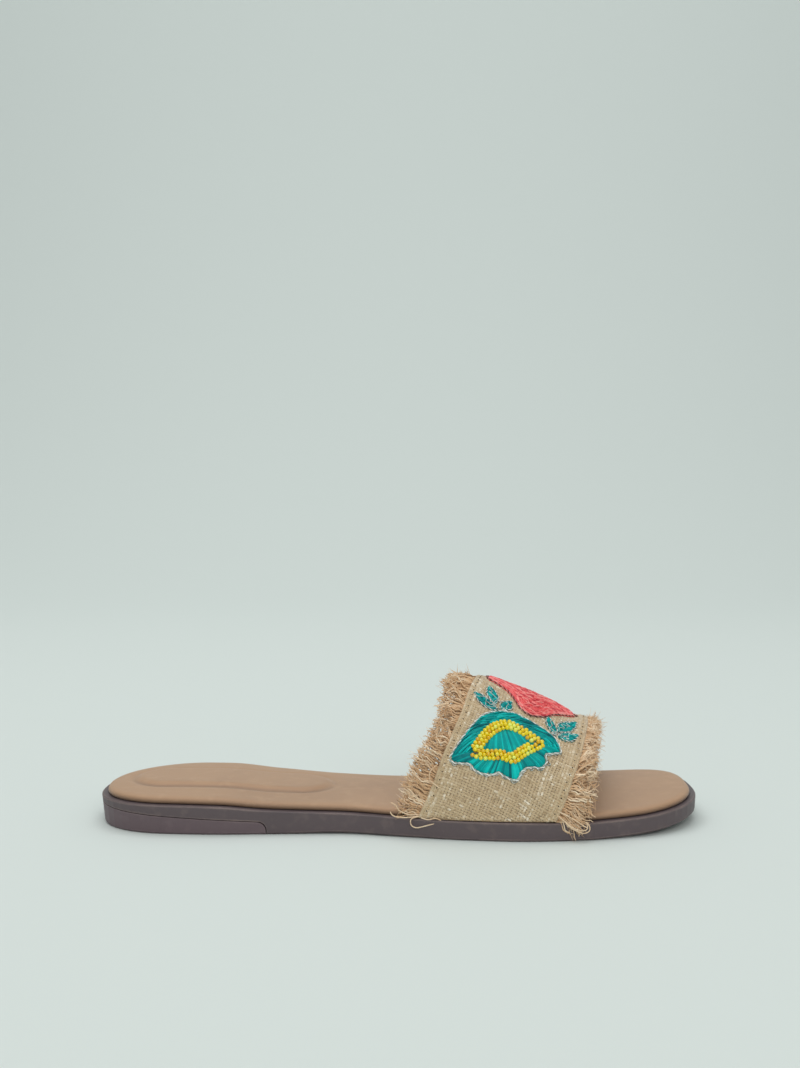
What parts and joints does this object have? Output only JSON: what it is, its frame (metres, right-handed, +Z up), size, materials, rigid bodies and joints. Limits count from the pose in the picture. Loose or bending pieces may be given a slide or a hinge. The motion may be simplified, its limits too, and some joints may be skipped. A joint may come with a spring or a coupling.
{
  "type": "slide sandal",
  "caption": "Women's flat slide sandal for the right foot: dark moulded sole, padded tan insole and a woven fringed band with a floral embroidery.",
  "frame": {"origin": "on the ground, under the middle of the sandal's bounding box", "axes": "+X towards the toe, +Y towards the inner side of the right foot, +Z up"},
  "size_m": [0.255, 0.0822, 0.0612],
  "materials": {
    "outsole": "satin dark purple-brown",
    "heel_lift": "satin, slightly lighter than the sole",
    "insole": "smooth tan leather over thin padding",
    "upper": "coarse natural weave",
    "fringe": "loose curled threads"
  },
  "bodies": {
    "root": {"outsole": "outsole", "heel_lift": "heel_lift", "insole": "insole", "upper": "upper", "fringe_rear": "fringe", "fringe_front": "fringe"}
  },
  "joints": []
}
